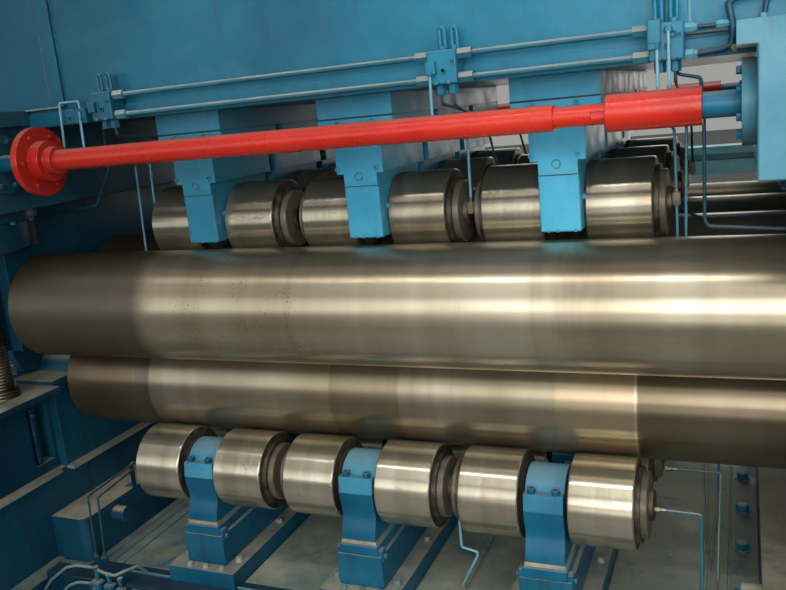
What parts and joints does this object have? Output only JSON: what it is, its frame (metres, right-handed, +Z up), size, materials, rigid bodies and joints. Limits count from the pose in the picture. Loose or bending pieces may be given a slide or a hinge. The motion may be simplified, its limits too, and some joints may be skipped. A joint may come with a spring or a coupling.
{
  "type": "roller sheet leveler",
  "caption": "Roller sheet leveler with staggered work rolls, backup rollers on pedestals and brackets, and a screw-lifted upper frame with cross shafts.",
  "frame": {"origin": "middle of the bed's underside, at floor level", "axes": "+X along the rolls, +Y the way the sheet runs, +Z up"},
  "size_m": [3.72, 2.24, 2.6],
  "materials": {
    "blue_paint": "teal-blue gloss machine enamel, dusty on level faces",
    "deck_paint": "blue enamel under grey-beige workshop dust",
    "motor_paint": "blue enamel on a finned casing",
    "red_paint": "orange-red gloss enamel",
    "roll_steel": "ground steel with an oily brown film, pits and worn bands",
    "backup_steel": "bright turned steel, greasy brown at the end rings",
    "spindle_steel": "greasy machined steel",
    "screw_steel": "oiled machined steel"
  },
  "bodies": {
    "bed": {"bed_frame": "deck_paint", "bed_rails": "blue_paint", "drive_motor": "motor_paint", "exit_tie": "blue_paint", "guide_blocks": "blue_paint", "lifting_screws": "screw_steel", "lower_bearing_caps": "blue_paint", "lower_chocks": "blue_paint", "lower_spindles": "spindle_steel", "pedestal_feet": "blue_paint", "pedestal_rails": "deck_paint", "pedestal_shims": "deck_paint", "pedestals": "blue_paint", "side_bases": "blue_paint", "side_frames": "blue_paint"},
    "upper_frame": {"upper_beam": "blue_paint", "end_girders": "blue_paint", "upper_chocks": "blue_paint", "nut_housings": "blue_paint", "bracket_rails": "blue_paint", "brackets": "blue_paint", "upper_bearing_caps": "blue_paint", "upper_spindles": "spindle_steel", "shaft_flanges": "blue_paint", "manifold_blocks": "blue_paint", "beam_pipes": "blue_paint"},
    "upper_work_roll_1": {"upper_work_roll_1": "roll_steel"},
    "upper_work_roll_2": {"upper_work_roll_2": "roll_steel"},
    "upper_work_roll_3": {"upper_work_roll_3": "roll_steel"},
    "upper_work_roll_4": {"upper_work_roll_4": "roll_steel"},
    "lower_work_roll_1": {"lower_work_roll_1": "roll_steel"},
    "lower_work_roll_2": {"lower_work_roll_2": "roll_steel"},
    "lower_work_roll_3": {"lower_work_roll_3": "roll_steel"},
    "upper_backup_row_1": {"upper_backup_row_1": "backup_steel"},
    "upper_backup_row_2": {"upper_backup_row_2": "backup_steel"},
    "upper_backup_row_3": {"upper_backup_row_3": "backup_steel"},
    "lower_backup_row_1": {"lower_backup_row_1": "backup_steel"},
    "lower_backup_row_2": {"lower_backup_row_2": "backup_steel"},
    "lower_backup_row_3": {"lower_backup_row_3": "backup_steel"},
    "lower_backup_row_4": {"lower_backup_row_4": "backup_steel"},
    "front_cross_shaft": {"front_cross_shaft": "red_paint", "front_shaft_stubs": "blue_paint"},
    "rear_cross_shaft": {"rear_cross_shaft": "red_paint", "rear_shaft_stubs": "blue_paint"}
  },
  "joints": [
    {"name": "frame_lift", "type": "slide", "parent": "bed", "child": "upper_frame", "axis": [0, 0, 1], "range_m": [-0.008, 0.08]},
    {"name": "upper_work_roll_1_spin", "type": "hinge", "parent": "upper_frame", "child": "upper_work_roll_1", "pos_m": [0, -0.615, 1.30001], "axis": [1, 0, 0], "continuous": true},
    {"name": "upper_work_roll_2_spin", "type": "hinge", "parent": "upper_frame", "child": "upper_work_roll_2", "pos_m": [0, -0.205, 1.30001], "axis": [1, 0, 0], "continuous": true},
    {"name": "upper_work_roll_3_spin", "type": "hinge", "parent": "upper_frame", "child": "upper_work_roll_3", "pos_m": [0, 0.205, 1.30001], "axis": [1, 0, 0], "continuous": true},
    {"name": "upper_work_roll_4_spin", "type": "hinge", "parent": "upper_frame", "child": "upper_work_roll_4", "pos_m": [0, 0.615, 1.30001], "axis": [1, 0, 0], "continuous": true},
    {"name": "lower_work_roll_1_spin", "type": "hinge", "parent": "bed", "child": "lower_work_roll_1", "pos_m": [0, -0.41, 0.9612], "axis": [1, 0, 0], "continuous": true},
    {"name": "lower_work_roll_2_spin", "type": "hinge", "parent": "bed", "child": "lower_work_roll_2", "pos_m": [0, 0, 0.9612], "axis": [1, 0, 0], "continuous": true},
    {"name": "lower_work_roll_3_spin", "type": "hinge", "parent": "bed", "child": "lower_work_roll_3", "pos_m": [0, 0.41, 0.9612], "axis": [1, 0, 0], "continuous": true},
    {"name": "upper_backup_row_1_spin", "type": "hinge", "parent": "upper_frame", "child": "upper_backup_row_1", "pos_m": [0, -0.41, 1.55861], "axis": [1, 0, 0], "continuous": true},
    {"name": "upper_backup_row_2_spin", "type": "hinge", "parent": "upper_frame", "child": "upper_backup_row_2", "pos_m": [0, 0, 1.55861], "axis": [1, 0, 0], "continuous": true},
    {"name": "upper_backup_row_3_spin", "type": "hinge", "parent": "upper_frame", "child": "upper_backup_row_3", "pos_m": [0, 0.41, 1.55861], "axis": [1, 0, 0], "continuous": true},
    {"name": "lower_backup_row_1_spin", "type": "hinge", "parent": "bed", "child": "lower_backup_row_1", "pos_m": [0, -0.615, 0.7026], "axis": [1, 0, 0], "continuous": true},
    {"name": "lower_backup_row_2_spin", "type": "hinge", "parent": "bed", "child": "lower_backup_row_2", "pos_m": [0, -0.205, 0.7026], "axis": [1, 0, 0], "continuous": true},
    {"name": "lower_backup_row_3_spin", "type": "hinge", "parent": "bed", "child": "lower_backup_row_3", "pos_m": [0, 0.205, 0.7026], "axis": [1, 0, 0], "continuous": true},
    {"name": "lower_backup_row_4_spin", "type": "hinge", "parent": "bed", "child": "lower_backup_row_4", "pos_m": [0, 0.615, 0.7026], "axis": [1, 0, 0], "continuous": true},
    {"name": "front_cross_shaft_turn", "type": "hinge", "parent": "upper_frame", "child": "front_cross_shaft", "pos_m": [0, -0.865, 1.83601], "axis": [1, 0, 0], "range_deg": [-721, 7201]},
    {"name": "rear_cross_shaft_turn", "type": "hinge", "parent": "upper_frame", "child": "rear_cross_shaft", "pos_m": [0, 0.865, 1.83601], "axis": [1, 0, 0], "range_deg": [-721, 7201]}
  ],
  "couplings": [
    {"joint": "upper_work_roll_2_spin", "follows": "upper_work_roll_1_spin", "ratio": 1},
    {"joint": "upper_work_roll_3_spin", "follows": "upper_work_roll_1_spin", "ratio": 1},
    {"joint": "upper_work_roll_4_spin", "follows": "upper_work_roll_1_spin", "ratio": 1},
    {"joint": "lower_work_roll_1_spin", "follows": "upper_work_roll_1_spin", "ratio": -1},
    {"joint": "lower_work_roll_2_spin", "follows": "upper_work_roll_1_spin", "ratio": -1},
    {"joint": "lower_work_roll_3_spin", "follows": "upper_work_roll_1_spin", "ratio": -1},
    {"joint": "upper_backup_row_1_spin", "follows": "upper_work_roll_1_spin", "ratio": -1.4074},
    {"joint": "upper_backup_row_2_spin", "follows": "upper_work_roll_1_spin", "ratio": -1.4074},
    {"joint": "upper_backup_row_3_spin", "follows": "upper_work_roll_1_spin", "ratio": -1.4074},
    {"joint": "lower_backup_row_1_spin", "follows": "upper_work_roll_1_spin", "ratio": 1.4074},
    {"joint": "lower_backup_row_2_spin", "follows": "upper_work_roll_1_spin", "ratio": 1.4074},
    {"joint": "lower_backup_row_3_spin", "follows": "upper_work_roll_1_spin", "ratio": 1.4074},
    {"joint": "lower_backup_row_4_spin", "follows": "upper_work_roll_1_spin", "ratio": 1.4074},
    {"joint": "front_cross_shaft_turn", "follows": "frame_lift", "rad_per_m": 1570.8},
    {"joint": "rear_cross_shaft_turn", "follows": "frame_lift", "rad_per_m": 1570.8}
  ]
}
